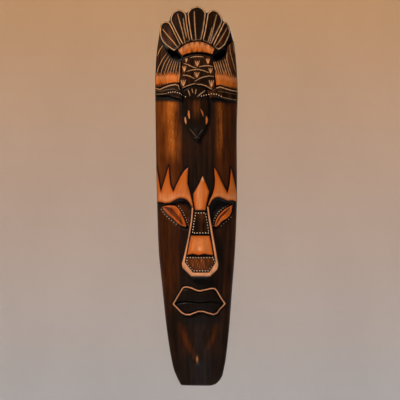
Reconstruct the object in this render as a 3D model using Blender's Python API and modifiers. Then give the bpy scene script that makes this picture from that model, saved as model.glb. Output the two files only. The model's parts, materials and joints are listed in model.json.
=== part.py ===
"""A long carved wooden wall mask: a bird with a fanned tail over a narrow face.

Lengths in this script are millimetres and become metres when a mesh is made. X runs to the right
of someone who faces the mask, Z runs up, and the front looks along -Y. The back plane, which lies on
the wall, is y = 0, and a depth is a distance in front of it. The origin is on the solid land of that
plane, above the hanger's pocket.
"""

import math

import bmesh
import bpy

MM = 0.001

# Driving dimensions
CHIN_Z = -979.0
EDGE_DEPTH = 15.0  # depth of the side wall, where the front rolls into it
WALL = 16.0  # wood left in front of the hollow
GAP = 0.4  # between a relief piece and the face it sits on
COLUMNS = 22  # cells across the face, closer together towards the sides
ROW_STEP = 18.0
SIDE_OVERRUN = 1.25  # how far the lattice reaches past the sides
THROUGH = 240.0  # half length of a cutter that goes right through
SIDE_STEP = 35  # between the points down the sides of the outline

# Depth of the block along its middle, from the back plane: (z, depth)
CROWN = [(60, 36), (0, 40), (-100, 48), (-220, 54), (-450, 57), (-700, 54), (-850, 47), (-960, 36),
         (-1020, 31)]

# Sides of the block: (z, x)
LEFT_SIDE = [(60, -97), (-50, -100), (-104, -107), (-170, -110), (-300, -109), (-435, -106.5), (-620, -101),
             (-727, -90.5), (-806, -82.5), (-886, -71.5), (-940, -60), (-979, -44), (-1020, -38)]
RIGHT_SIDE = [(60, 84), (-45, 90.5), (-70, 98), (-117, 103.5), (-170, 107), (-215, 108), (-300, 105.5),
              (-488, 106), (-620, 101), (-727, 93), (-833, 85), (-912, 76), (-952, 68), (-979, 55),
              (-1020, 50)]

# Swelling that carries the mouth, and the wedge below it
MOUTH_CENTRE = (6.0, -755.0)
MOUTH_REACH = (78.0, 52.0)
MOUTH_SWELL = 8.0
WEDGE_CENTRE = 2.0
WEDGE_TOP = -780.0
WEDGE_POINT = -920.0
WEDGE_HALF_WIDTH = 61.0
WEDGE_RISE = 6.0
WEDGE_RUN_IN = 30.0

# Relief heights above the block's own surface
FEATHER_RISE = 6.5
BAND_RISE = 9.0
WING_RISE = 7.0
BACK_RISE = 8.5
HEAD_RISE = 7.0
HEM_RISE = 9.0
BROW_RISE = 6.0
MOUTH_RIM_RISE = 6.0
LIP_RISE = 7.5
NOSE_CAP = 4.5
SOCKET_DEPTH = 10.0
SOCKET_LIP = 2.0
SOCKET_CENTRE = 8.0
SOCKET_SLANT = 0.78
SOCKET_RUN = 45.0
RECESS_DEPTH = 24.0  # of the two blackened recesses beside the bird's back
EYE_RISE = 6.0

# Rise of the nose above the face, down its length: (z, rise)
NOSE_RIDGE = [(-400, 5.5), (-470, 6), (-516, 8), (-578, 17), (-634, 28), (-650, 27.5), (-690, 18),
              (-740, 14)]

# Hanger
POCKET_WIDTH = 30.0
POCKET_TOP = -12.0
POCKET_BOTTOM = -68.0
POCKET_DEPTH = 6.0
STRAP_WIDTH = 13.0
STRAP_THICKNESS = 1.0
STRAP_END = -65.0
HINGE_Y = -3.15
HINGE_Z = -33.5
WIRE_RADIUS = 1.2
KNUCKLE_BORE = 1.35
KNUCKLE_RADIUS = 2.45
STRAP_Y = HINGE_Y - KNUCKLE_BORE - 0.2  # the strap's outer face
RING_HALF_WIDTH = 10.2
RING_ARC_CENTRE = 5.5
RING_HEIGHT = 16.4
SCREW_Z = (-44.0, -57.0)
SCREW_SHANK = 1.75
SCREW_HEAD = 3.5
SCREW_HEAD_HEIGHT = 2.2
SCREW_LENGTH = 16.0
SCREW_CLEARANCE = 0.3
CROSS_LENGTH = 3.6
CROSS_WIDTH = 0.7
CROSS_DEPTH = 1.0

# Right half of the hollow's edge: (place between the sides, z)
HOLLOW_EDGE = [(0.52, -140), (0.72, -180), (0.78, -300), (0.78, -620), (0.74, -820), (0.55, -915)]

# Outlines seen from the front: (x, z)
FAN_EDGE = [(-99, -50), (-97.5, -30), (-93, -20), (-84, -17), (-76, -18), (-72, -18.5), (-70, -5), (-65, 4),
            (-57, 11), (-48, 13.5), (-40, 12), (-32, 7.5), (-27, 2.5), (-22, 10.5), (-15, 17), (-6, 21.5),
            (3, 22.5), (12, 19.5), (20, 12), (26, 2.5), (33, 9), (40, 12.8), (48, 12.8), (57, 8), (64, -2),
            (68, -12), (70, -18), (76, -18), (82, -21.5), (86.5, -32), (90.5, -45)]
CHIN_EDGE = [(68, -952), (61, -965), (50, -975), (37, -979), (-42, -978), (-50, -963), (-60, -940)]

FEATHER_MIDDLE = [(-24.5, 3), (-21.5, 10), (-15, 16.5), (-6, 21), (3, 22), (12, 19), (19.5, 12), (24, 3),
                  (22, -15), (18, -42), (12, -69), (0, -69), (-14, -70.5), (-19, -42), (-22.5, -18)]
FEATHER_INNER_LEFT = [(-69.5, -14), (-69, -5), (-64.5, 3.5), (-57, 10.5), (-48, 13), (-40, 11.5),
                      (-32.5, 7), (-28, 0), (-25.5, -22), (-21.5, -48), (-16.5, -70.5), (-28, -75),
                      (-37.5, -80.5), (-45.5, -66), (-53, -51), (-61, -35), (-68, -20)]
FEATHER_OUTER_LEFT = [(-97, -30), (-92.5, -20.5), (-84, -17.5), (-76, -18.8), (-71, -21.5),
                      (-63.5, -35.5), (-55.5, -52), (-48, -67), (-40.5, -82), (-45, -86), (-52.5, -92.5),
                      (-60, -96), (-69, -90), (-80, -82), (-90, -72), (-95.5, -61), (-98.5, -46)]
FEATHER_INNER_RIGHT = [(28, 2), (33.5, 8.5), (40, 12.3), (48, 12.3), (56.5, 7.5), (63.5, -2), (67, -12),
                       (67.5, -19), (61.5, -33), (54, -48), (46, -64), (38.5, -80), (28, -74.5),
                       (14.5, -69.5), (20.5, -43), (24.5, -20)]
FEATHER_OUTER_RIGHT = [(71, -19.5), (76, -18.5), (81.5, -22), (86, -32), (88.5, -44), (85.5, -56),
                       (80, -68), (75, -79), (66, -88), (57, -93.5), (49, -88.5), (41.5, -82), (49, -66),
                       (57, -49.5), (64.5, -34)]
ROOT_BAND = [(-50, -94), (-41, -86), (-29, -78), (-15, -73), (0, -71.3), (13, -71.8), (26, -76),
             (38, -82.5), (47, -89.5), (41, -105), (28, -101), (14, -99.3), (0, -99), (-14, -101),
             (-27, -104), (-38, -109)]
WING_LEFT = [(-101, -66), (-93, -76), (-84.5, -89), (-79, -103), (-69, -117), (-56, -123.5), (-41, -124),
             (-41.5, -150), (-46, -180), (-57, -179.5), (-73, -182), (-88, -188), (-98, -192), (-120, -190),
             (-120, -66)]
WING_RIGHT = [(80, -86), (88, -76), (97, -70), (120, -70), (120, -198), (107, -197.5), (90, -194),
              (75, -190), (62, -185.5), (51, -188), (49, -165), (45.5, -140), (43, -124), (52, -124.5),
              (66, -121.5), (77.5, -112), (79.5, -99)]
BIRD_BACK = [(-34, -113), (-18, -107), (0, -104.5), (20, -106), (36, -111), (41, -122), (44, -141),
             (47.5, -166), (48.5, -190), (40, -198.5), (24, -192), (8, -187), (-10, -186), (-26, -190),
             (-39, -197), (-44.5, -182), (-40, -152), (-39, -124)]
HEM_LEFT = [(-120, -192.5), (-98, -195), (-87, -190), (-72, -184.5), (-57, -182), (-48, -183), (-46, -195),
            (-41, -203), (-40, -214), (-39, -226), (-55, -219), (-76, -213), (-120, -212)]
HEM_RIGHT = [(51, -191), (62, -188.5), (75, -193), (90, -197), (107, -201), (120, -201), (120, -230),
             (106, -230), (84, -227), (64, -222), (45, -218), (34, -222), (29, -212), (27, -199),
             (40, -201.5)]
BIRD_HEAD = [(-35, -200.5), (-22, -192.5), (-6, -189), (10, -190), (25, -196.5), (27, -212), (32, -235),
             (31, -258), (29, -283), (21, -304), (9, -325), (0, -336), (-9, -325), (-21, -304), (-32, -283),
             (-36, -258), (-35, -235), (-34.5, -215)]
BROW_LEFT = [(-120, -394), (-107, -396), (-103, -420), (-98, -450), (-95, -467), (-90, -450), (-83, -428),
             (-74, -398), (-72, -425), (-69.5, -448), (-62, -467), (-55, -450), (-44, -428), (-34, -412),
             (-22, -401), (-23.5, -425), (-24, -446), (-18, -468), (-12.5, -490), (-9.5, -506.5),
             (-13.5, -506.5), (-18, -498), (-25, -489.5), (-33, -485), (-43, -483.5), (-53, -486.5),
             (-62, -491.5), (-71, -496), (-83, -497.5), (-93, -495), (-104, -493.5), (-120, -493)]
BROW_RIGHT = [(45, -402), (53, -413), (62, -432), (72, -453), (81, -469), (86, -448), (90, -402),
              (96, -425), (103, -455), (120, -470), (120, -494), (105, -493.5), (94, -489.5),
              (81, -490.5), (70, -485.5), (60, -481.5), (51, -482), (43, -487), (37, -495), (33, -503.5),
              (29, -503.5), (33, -490), (41, -474), (46, -456), (47.5, -436)]
BROW_DIAMOND = [(15, -424), (20, -436), (26, -449), (33, -467), (29, -485), (25.5, -500), (23, -516),
                (-4.5, -516), (-7.5, -500), (-9.5, -485), (-9.5, -472), (-2, -459), (5, -447), (10, -436)]
NOSE_OUTER = [(-13.5, -508), (-16.5, -545), (-24.5, -592), (-33.5, -632), (-40, -656), (-38, -667),
              (-15, -690), (35, -690), (54, -672), (57, -659), (52, -630), (46, -598), (40, -563),
              (34, -530), (30.5, -505)]
NOSE_WEDGE = NOSE_OUTER[:-1] + [(30.3, -508), (26.5, -508), (25.5, -500), (29, -485), (33, -467), (26, -449),
                                (20, -436), (15, -424), (10, -436), (5, -447), (-2, -459), (-9.5, -472),
                                (-9.5, -485), (-7.5, -500), (-8, -508)]
NOSE_INNER = [(26, -500), (29.5, -532), (34.5, -563), (40.5, -600), (46, -633), (49, -652), (31.5, -679),
              (-10, -679), (-31, -652), (-27.5, -632), (-20, -592), (-12, -547), (-9.5, -518), (-9, -500)]
NOSE_BRIDGE = [(-7, -519.5), (24, -519.5), (28, -547), (32, -578), (-13.5, -578), (-9.5, -548)]
NOSE_MIDDLE = [(-15.5, -582), (33.5, -582), (38.5, -603), (43.5, -634), (33, -633), (20, -630.5), (4, -634),
               (-11, -630.5), (-26, -634), (-20.5, -603)]
NOSE_TIP = [(-26.5, -637.5), (44.5, -637.5), (47, -652), (30, -677), (-9, -677), (-29, -652)]
SOCKET_LEFT = [(-97, -498), (-83, -499.5), (-70, -498), (-61, -493), (-52, -488), (-43, -485.5),
               (-33, -487), (-25, -491.5), (-19, -500), (-15.5, -512), (-18.5, -540), (-24, -568),
               (-40, -566), (-62, -552), (-80, -534), (-93, -514)]
SOCKET_RIGHT = [(99, -498), (93, -491.5), (81, -492.5), (70, -487.5), (60, -483.5), (51, -484), (44, -489),
                (39, -497), (35.5, -509), (36.5, -535), (41, -566), (56, -566), (76, -554), (90, -542),
                (98, -522)]
EYE_LEFT = [(-92, -506), (-79, -502), (-65, -501), (-55, -505.5), (-45, -515), (-35, -530), (-28, -546),
            (-25.5, -561), (-36, -559), (-50, -551), (-63, -539.5), (-77, -527), (-87, -515)]
EYE_RIGHT = [(95, -501), (85, -503), (74, -509), (63, -520), (53, -533), (47, -547), (44, -561),
             (54, -557.5), (68, -547), (83, -538), (91, -524), (95, -512)]
RECESS_LEFT = [(-80.5, -89), (-73, -105), (-64, -114), (-53, -118.5), (-43, -118.5), (-40, -113),
               (-48, -104), (-55, -99.5), (-64, -96)]
RECESS_RIGHT = [(41.5, -117), (44, -109), (53, -101), (64, -95.5), (74, -92), (76, -100), (73.5, -109),
                (63.5, -117), (52, -120.3)]
MOUTH_LINE = [(-63, -763), (-51, -743), (-38, -721), (-34, -718), (-26, -717), (-15, -719.5), (0, -726),
              (8, -727.5), (22, -724.5), (38, -721), (47, -721.5), (53, -727), (64, -746), (75, -762),
              (62, -775), (53, -787), (44, -790.5), (30, -787), (17, -782.5), (5, -782), (-6, -786),
              (-18, -791), (-30, -791), (-40, -786)]
MOUTH_RIM_WIDTH = 5.6
LIP_UPPER = [(-55, -757.5), (-44, -740), (-36, -725.5), (-27, -723.5), (-15, -726), (0, -732.5),
             (8, -733.5), (22, -731), (38, -727), (45, -728), (52, -738), (64, -757.5), (40, -754),
             (8, -757), (-28, -754)]
LIP_LOWER = [(-54, -762.5), (-28, -758), (8, -761), (40, -758), (65, -762), (54, -775), (47, -783),
             (40, -783.5), (28, -780), (16, -776), (5, -775.8), (-8, -779.5), (-20, -784.5), (-30, -784.5),
             (-38, -779.5)]

# Materials: name -> (colour, roughness, metallic)
FINISHES = {
    "stained_dark": ((0.040, 0.018, 0.010), 0.38, 0.0),
    "stained_brown": ((0.120, 0.045, 0.016), 0.45, 0.0),
    "burnished_orange": ((0.480, 0.170, 0.040), 0.45, 0.0),
    "bare_wood": ((0.560, 0.270, 0.100), 0.55, 0.0),
    "zinc_steel": ((0.560, 0.550, 0.520), 0.35, 1.0),
}


def clear_scene():
    for item in list(bpy.data.objects):
        bpy.data.objects.remove(item, do_unlink=True)


def make_collection(name):
    group = bpy.data.collections.new(name)
    bpy.context.scene.collection.children.link(group)
    return group


def make_material(name):
    colour, roughness, metallic = FINISHES[name]
    material = bpy.data.materials.new(name)
    material.use_nodes = True
    shader = material.node_tree.nodes["Principled BSDF"]
    shader.inputs["Base Color"].default_value = (*colour, 1.0)
    shader.inputs["Roughness"].default_value = roughness
    shader.inputs["Metallic"].default_value = metallic
    return material


def curve_at(table, place):
    """Value of a smooth curve through (place, value) pairs listed in falling order of place."""
    last = len(table) - 2
    i = 0
    while i < last and place < table[i + 1][0]:
        i += 1
    (p0, v0), (p1, v1) = table[i], table[i + 1]
    before = table[max(i - 1, 0)]
    after = table[min(i + 2, last + 1)]
    slope0 = (v1 - before[1]) / (p1 - before[0])
    slope1 = (after[1] - v0) / (after[0] - p0)
    span = p1 - p0
    t = min(max((place - p0) / span, 0.0), 1.0)
    blend = t * t * (3.0 - 2.0 * t)
    lean0 = (t**3 - 2.0 * t * t + t) * span * slope0
    lean1 = (t**3 - t * t) * span * slope1
    return v0 + (v1 - v0) * blend + lean0 + lean1


def step_up(t):
    t = min(max(t, 0.0), 1.0)
    return t * t * (3.0 - 2.0 * t)


def across(x, z):
    """Place of x between the sides at height z: -1 at the left side, +1 at the right."""
    left = curve_at(LEFT_SIDE, z)
    right = curve_at(RIGHT_SIDE, z)
    return (2.0 * x - left - right) / (right - left)


def x_of(u, z):
    left = curve_at(LEFT_SIDE, z)
    right = curve_at(RIGHT_SIDE, z)
    return 0.5 * (left + right) + 0.5 * (right - left) * u


def mouth_swell(x, z):
    across_mouth = (x - MOUTH_CENTRE[0]) / MOUTH_REACH[0]
    up_mouth = (z - MOUTH_CENTRE[1]) / MOUTH_REACH[1]
    return MOUTH_SWELL * math.exp(-1.6 * (across_mouth**2 + up_mouth**2))


def chin_wedge(x, z):
    """The wedge under the mouth, which narrows downwards to a point."""
    half = WEDGE_HALF_WIDTH * (z - WEDGE_POINT) / (WEDGE_TOP - WEDGE_POINT)
    if half <= 0.0 or z > WEDGE_TOP:
        return 0.0
    inside = step_up(1.6 * (1.0 - abs(x - WEDGE_CENTRE) / half))
    return WEDGE_RISE * inside * step_up((WEDGE_TOP - z) / WEDGE_RUN_IN)


def face_depth(x, z):
    """Depth of the carved front from the back plane."""
    u = min(abs(across(x, z)), 1.0)
    crown = curve_at(CROWN, z) - EDGE_DEPTH
    return EDGE_DEPTH + crown * (1.0 - u**3) ** 0.75 + mouth_swell(x, z) + chin_wedge(x, z)


def raised(rise):
    return lambda x, z: face_depth(x, z) + rise


def nose_top(x, z):
    return face_depth(x, z) + curve_at(NOSE_RIDGE, z)


def nose_seat(x, z):
    return nose_top(x, z) - NOSE_CAP


def socket_floor(x, z):
    """The sockets are deepest under the brows and run out at the cheeks, along the lower lids."""
    lower_lid = -500.0 - SOCKET_SLANT * (100.0 - abs(x - SOCKET_CENTRE))
    sink = step_up((z - lower_lid) / SOCKET_RUN)
    return face_depth(x, z) - SOCKET_LIP - (SOCKET_DEPTH - SOCKET_LIP) * sink


def trimmed(outline):
    """An outline whose points past the sides of the block are brought back to them."""
    return [(x_of(min(max(across(x, z), -1.0), 1.0), z), z) for x, z in outline]


def new_object(name, mesh, group, material=None):
    item = bpy.data.objects.new(name, mesh)
    group.objects.link(item)
    if material is not None:
        mesh.materials.append(material)
    return item


def mesh_from(name, bm):
    bmesh.ops.recalc_face_normals(bm, faces=bm.faces)
    mesh = bpy.data.meshes.new(name)
    bm.to_mesh(mesh)
    bm.free()
    return mesh


def lattice_mesh(name, outline, front, back, margin=6.0, step=1):
    """A block over an outline's rectangle. Its two faces follow depth functions on the shared lattice."""
    z_low = min(z for _, z in outline) - margin
    z_high = max(z for _, z in outline) + margin
    row_low = math.floor((z_low - CHIN_Z) / ROW_STEP)
    row_high = math.ceil((z_high - CHIN_Z) / ROW_STEP)
    rows = [CHIN_Z + ROW_STEP * row for row in range(row_low, row_high + 1, step)]
    if rows[-1] < z_high:
        rows.append(rows[-1] + ROW_STEP * step)
    places = [across(x + pad, z) for x, z in outline for pad in (-margin, margin)]
    columns = []
    for i in range(-COLUMNS // 2 - 1, COLUMNS // 2 + 2):
        angle = math.pi * i / COLUMNS
        if abs(i) <= COLUMNS // 2:
            columns.append(math.sin(angle))
        else:
            columns.append(math.copysign(SIDE_OVERRUN, i))
    low = max([i for i, u in enumerate(columns) if u <= min(places)], default=0)
    high = min([i for i, u in enumerate(columns) if u >= max(places)], default=len(columns) - 1)
    columns = columns[low:high + 1]

    bm = bmesh.new()
    bmesh.ops.create_grid(bm, x_segments=len(columns) - 1, y_segments=len(rows) - 1, size=0.5)
    grid = bm.verts[:]
    lifted = bmesh.ops.extrude_face_region(bm, geom=bm.faces[:])["geom"]
    top = {item for item in lifted if isinstance(item, bmesh.types.BMVert)}
    for vert in grid + list(top):
        vert.co.x = round((vert.co.x + 0.5) * (len(columns) - 1))
        vert.co.y = round((vert.co.y + 0.5) * (len(rows) - 1))
    for face in bm.faces[:]:
        # Every cell is split along the same diagonal, so that seated pieces match what they sit on.
        corners = sorted(face.verts, key=lambda vert: vert.co.x + vert.co.y)
        if len({vert in top for vert in corners}) == 1:
            bmesh.utils.face_split(face, corners[0], corners[-1])
    for vert in grid + list(top):
        z = rows[int(vert.co.y)]
        x = x_of(columns[int(vert.co.x)], z)
        depth = front(x, z) if vert in top else back(x, z)
        vert.co = (x * MM, -depth * MM, z * MM)
    return mesh_from(name, bm)


def prism(name, outline, group, low=-THROUGH, high=THROUGH):
    """A flat outline, filled and extruded along Y between two depths from the back plane."""
    curve = bpy.data.curves.new(name, "CURVE")
    curve.dimensions = "2D"
    curve.fill_mode = "BOTH"
    curve.extrude = 0.5 * (high - low) * MM
    spline = curve.splines.new("POLY")
    spline.points.add(len(outline) - 1)
    for point, (x, z) in zip(spline.points, outline):
        point.co = (x * MM, z * MM, 0.0, 1.0)
    spline.use_cyclic_u = True
    guide = bpy.data.objects.new(name, curve)
    group.objects.link(guide)
    guide.rotation_euler = (math.radians(90.0), 0.0, 0.0)
    guide.location = (0.0, -0.5 * (low + high) * MM, 0.0)
    return curve_to_mesh(guide, group)


def curve_to_mesh(guide, group):
    bpy.context.view_layer.update()
    graph = bpy.context.evaluated_depsgraph_get()
    mesh = bpy.data.meshes.new_from_object(guide.evaluated_get(graph))
    bm = bmesh.new()
    bm.from_mesh(mesh)
    bmesh.ops.remove_doubles(bm, verts=bm.verts, dist=1e-6)
    bmesh.ops.recalc_face_normals(bm, faces=bm.faces)
    bm.to_mesh(mesh)
    bm.free()
    name = guide.name
    place = guide.matrix_world.copy()
    bpy.data.objects.remove(guide, do_unlink=True)
    item = new_object(name, mesh, group)
    item.matrix_world = place
    return item


def as_cutter(item):
    item.hide_render = True
    item.display_type = "WIRE"
    return item


def boolean(item, operation, other):
    modifier = item.modifiers.new(other.name, "BOOLEAN")
    modifier.operation = operation
    modifier.solver = "EXACT"
    modifier.object = other


def relief(name, outline, front, back, group, cutters, material=None, margin=6.0, step=1):
    """A piece whose outline is cut out of a lattice block between two depth functions."""
    item = new_object(name, lattice_mesh(name, outline, front, back, margin, step), group, material)
    boolean(item, "INTERSECT", as_cutter(prism(name + "_outline", outline, cutters)))
    return item


def seated(name, outline, rise, group, cutters, material):
    """A relief piece that sits on the face with the seating gap."""
    return relief(name, outline, raised(rise), raised(GAP), group, cutters, material)


def offset_line(line, distance):
    """A closed line moved sideways by a distance, to the left of its run."""
    moved = []
    count = len(line)
    for i, (x, z) in enumerate(line):
        ax, az = line[i - 1]
        bx, bz = line[(i + 1) % count]
        before = math.atan2(z - az, x - ax)
        after = math.atan2(bz - z, bx - x)
        turn = math.remainder(after - before, 2.0 * math.pi)
        heading = before + 0.5 * turn + 0.5 * math.pi
        reach = distance / max(math.cos(0.5 * turn), 0.5)
        moved.append((x + reach * math.cos(heading), z + reach * math.sin(heading)))
    return moved


def box(name, low, high, group, material=None):
    bm = bmesh.new()
    bmesh.ops.create_cube(bm, size=1.0)
    for vert in bm.verts:
        for axis in range(3):
            middle = 0.5 * (low[axis] + high[axis])
            vert.co[axis] = (middle + vert.co[axis] * (high[axis] - low[axis])) * MM
    return new_object(name, mesh_from(name, bm), group, material)


def bar(name, radius, length, centre, along, group, sides=20):
    """A round bar along X or Y."""
    bm = bmesh.new()
    bmesh.ops.create_cone(bm, cap_ends=True, segments=sides, radius1=radius * MM, radius2=radius * MM,
                          depth=length * MM)
    item = new_object(name, mesh_from(name, bm), group)
    item.rotation_euler = (0.0, math.radians(90.0), 0.0) if along == "X" else (math.radians(90.0), 0.0, 0.0)
    item.location = [value * MM for value in centre]
    return item


def build_mask_body(parts, cutters, materials):
    left = [(curve_at(LEFT_SIDE, z), z) for z in range(-925, -60, SIDE_STEP)]
    right = [(curve_at(RIGHT_SIDE, z), z) for z in range(-75, -950, -SIDE_STEP)]
    outline = FAN_EDGE + right + CHIN_EDGE + left
    stain = materials["stained_dark"]
    body = relief("mask_body", outline, face_depth, lambda x, z: 0.0, parts, cutters, stain)

    hollow_edge = [(x_of(u, z), z) for u, z in HOLLOW_EDGE]
    hollow_edge += [(x_of(-u, z), z) for u, z in reversed(HOLLOW_EDGE)]
    hollow = relief("hollow", hollow_edge, raised(-WALL), lambda x, z: -5.0, cutters, cutters, step=2)
    boolean(body, "DIFFERENCE", as_cutter(hollow))

    for side, edge in (("left", SOCKET_LEFT), ("right", SOCKET_RIGHT)):
        socket = relief("socket_" + side, edge, raised(40.0), socket_floor, cutters, cutters)
        boolean(body, "DIFFERENCE", as_cutter(socket))

    nose = relief("nose_wedge", NOSE_WEDGE, nose_seat, raised(-0.5 * WALL), cutters, cutters)
    boolean(body, "UNION", as_cutter(nose))

    for side, edge in (("left", RECESS_LEFT), ("right", RECESS_RIGHT)):
        recess = relief("recess_" + side, edge, raised(40.0), raised(-RECESS_DEPTH), cutters, cutters)
        boolean(body, "DIFFERENCE", as_cutter(recess))

    pocket = box("hanger_pocket", (-0.5 * POCKET_WIDTH, -POCKET_DEPTH, POCKET_BOTTOM),
                 (0.5 * POCKET_WIDTH, 4.0, POCKET_TOP), cutters)
    boolean(body, "DIFFERENCE", as_cutter(pocket))
    tip = STRAP_Y + SCREW_CLEARANCE - SCREW_LENGTH - 0.5
    for number, z in enumerate(SCREW_Z):
        radius = SCREW_SHANK + SCREW_CLEARANCE
        pilot = bar(f"pilot_{number}", radius, -tip, (0.0, 0.5 * tip, z), "Y", cutters)
        boolean(body, "DIFFERENCE", as_cutter(pilot))


def build_crest(parts, cutters, materials):
    feathers = {
        "feather_middle": FEATHER_MIDDLE,
        "feather_inner_left": FEATHER_INNER_LEFT,
        "feather_inner_right": FEATHER_INNER_RIGHT,
        "feather_outer_left": FEATHER_OUTER_LEFT,
        "feather_outer_right": FEATHER_OUTER_RIGHT,
    }
    for name, outline in feathers.items():
        seated(name, outline, FEATHER_RISE, parts, cutters, materials["stained_dark"])
    seated("feather_root_band", ROOT_BAND, BAND_RISE, parts, cutters, materials["burnished_orange"])
    for side, wing, hem in (("left", WING_LEFT, HEM_LEFT), ("right", WING_RIGHT, HEM_RIGHT)):
        seated("wing_" + side, trimmed(wing), WING_RISE, parts, cutters, materials["stained_brown"])
        seated("crest_hem_" + side, trimmed(hem), HEM_RISE, parts, cutters, materials["stained_brown"])
    seated("bird_back", BIRD_BACK, BACK_RISE, parts, cutters, materials["stained_dark"])
    seated("bird_head", BIRD_HEAD, HEAD_RISE, parts, cutters, materials["stained_dark"])


def build_face(parts, cutters, materials):
    for side, brow in (("left", BROW_LEFT), ("right", BROW_RIGHT)):
        seated("brow_" + side, trimmed(brow), BROW_RISE, parts, cutters, materials["bare_wood"])

    def nose_back(x, z):
        return nose_seat(x, z) + GAP

    relief("brow_diamond", BROW_DIAMOND, nose_top, nose_back, parts, cutters, materials["bare_wood"])
    frame = relief("nose_frame", NOSE_OUTER, nose_top, nose_back, parts, cutters, materials["bare_wood"])
    boolean(frame, "DIFFERENCE", as_cutter(prism("nose_opening", NOSE_INNER, cutters)))
    panels = (
        ("nose_bridge_panel", NOSE_BRIDGE, "stained_dark"),
        ("nose_middle_panel", NOSE_MIDDLE, "burnished_orange"),
        ("nose_tip_panel", NOSE_TIP, "stained_brown"),
    )
    for name, outline, finish in panels:
        relief(name, outline, nose_top, nose_back, parts, cutters, materials[finish])

    for side, edge in (("left", EYE_LEFT), ("right", EYE_RIGHT)):
        relief("eye_" + side, edge, lambda x, z: socket_floor(x, z) + EYE_RISE,
               lambda x, z: socket_floor(x, z) + GAP, parts, cutters, materials["burnished_orange"])

    half = 0.5 * MOUTH_RIM_WIDTH
    outer = offset_line(MOUTH_LINE, half)
    rim = seated("mouth_rim", outer, MOUTH_RIM_RISE, parts, cutters, materials["bare_wood"])
    boolean(rim, "DIFFERENCE", as_cutter(prism("mouth_opening", offset_line(MOUTH_LINE, -half), cutters)))
    seated("lip_upper", LIP_UPPER, LIP_RISE, parts, cutters, materials["stained_dark"])
    seated("lip_lower", LIP_LOWER, LIP_RISE, parts, cutters, materials["stained_dark"])


def build_hanger(parts, cutters, materials):
    steel = materials["zinc_steel"]
    strap = box("hanger_strap", (-0.5 * STRAP_WIDTH, STRAP_Y - STRAP_THICKNESS, STRAP_END),
                (0.5 * STRAP_WIDTH, STRAP_Y, HINGE_Z), parts, steel)
    knuckle = bar("knuckle", KNUCKLE_RADIUS, STRAP_WIDTH, (0.0, HINGE_Y, HINGE_Z), "X", cutters, sides=24)
    boolean(strap, "UNION", as_cutter(knuckle))
    bore = bar("knuckle_bore", KNUCKLE_BORE, STRAP_WIDTH + 4.0, (0.0, HINGE_Y, HINGE_Z), "X", cutters)
    boolean(strap, "DIFFERENCE", as_cutter(bore))
    for number, z in enumerate(SCREW_Z):
        radius = SCREW_SHANK + SCREW_CLEARANCE
        hole = bar(f"strap_hole_{number}", radius, 6.0, (0.0, STRAP_Y, z), "Y", cutters)
        boolean(strap, "DIFFERENCE", as_cutter(hole))

    corner = [(7.0, 0.0), (9.3, 0.7), (RING_HALF_WIDTH, 2.6)]
    centre_line = [(0.0, 0.0)] + corner
    for number in range(13):
        angle = math.pi * number / 12
        centre_line.append((RING_HALF_WIDTH * math.cos(angle),
                            RING_ARC_CENTRE + (RING_HEIGHT - RING_ARC_CENTRE) * math.sin(angle)))
    centre_line += [(-x, z) for x, z in reversed(corner)]
    curve = bpy.data.curves.new("hanger_ring", "CURVE")
    curve.dimensions = "3D"
    curve.bevel_depth = WIRE_RADIUS * MM
    curve.bevel_resolution = 2
    curve.use_fill_caps = True
    spline = curve.splines.new("POLY")
    spline.points.add(len(centre_line) - 1)
    for point, (x, z) in zip(spline.points, centre_line):
        point.co = (x * MM, 0.0, z * MM, 1.0)
    spline.use_cyclic_u = True
    ring = bpy.data.objects.new("hanger_ring", curve)
    parts.objects.link(ring)
    ring.location = (0.0, HINGE_Y * MM, HINGE_Z * MM)
    curve.materials.append(steel)

    head_seat = STRAP_Y + SCREW_CLEARANCE
    profile = [(0.0, SCREW_HEAD_HEIGHT), (1.9, 2.0), (3.0, 1.35), (SCREW_HEAD, 0.6), (SCREW_HEAD, 0.0),
               (SCREW_SHANK, 0.0), (SCREW_SHANK, 3.0 - SCREW_LENGTH), (0.0, -SCREW_LENGTH)]
    for name, z in zip(("hanger_screw_upper", "hanger_screw_lower"), SCREW_Z):
        mesh = bpy.data.meshes.new(name)
        mesh.from_pydata([(r * MM, 0.0, h * MM) for r, h in profile],
                         [(i, i + 1) for i in range(len(profile) - 1)], [])
        screw = new_object(name, mesh, parts, steel)
        screw.location = (0.0, head_seat * MM, z * MM)
        screw.rotation_euler = (math.radians(-90.0), 0.0, 0.0)
        turn = screw.modifiers.new("turn", "SCREW")
        turn.axis = "Z"
        turn.angle = math.radians(360.0)
        turn.steps = 20
        turn.render_steps = 20
        turn.use_merge_vertices = True
        turn.merge_threshold = 0.00001
        head_top = head_seat + SCREW_HEAD_HEIGHT
        for number, (wide, tall) in enumerate(((CROSS_LENGTH, CROSS_WIDTH), (CROSS_WIDTH, CROSS_LENGTH))):
            slot = box(f"{name}_slot_{number}", (-0.5 * wide, head_top - CROSS_DEPTH, z - 0.5 * tall),
                       (0.5 * wide, head_top + CROSS_DEPTH, z + 0.5 * tall), cutters)
            boolean(screw, "DIFFERENCE", as_cutter(slot))


def main():
    clear_scene()
    parts = make_collection("carved_wall_mask")
    cutters = make_collection("cutters")
    materials = {name: make_material(name) for name in FINISHES}
    build_mask_body(parts, cutters, materials)
    build_crest(parts, cutters, materials)
    build_face(parts, cutters, materials)
    build_hanger(parts, cutters, materials)


main()
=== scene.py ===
import json
import math

import bmesh
import bpy
import numpy as np
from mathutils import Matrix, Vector
from mathutils.bvhtree import BVHTree
from mathutils.kdtree import KDTree

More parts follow.
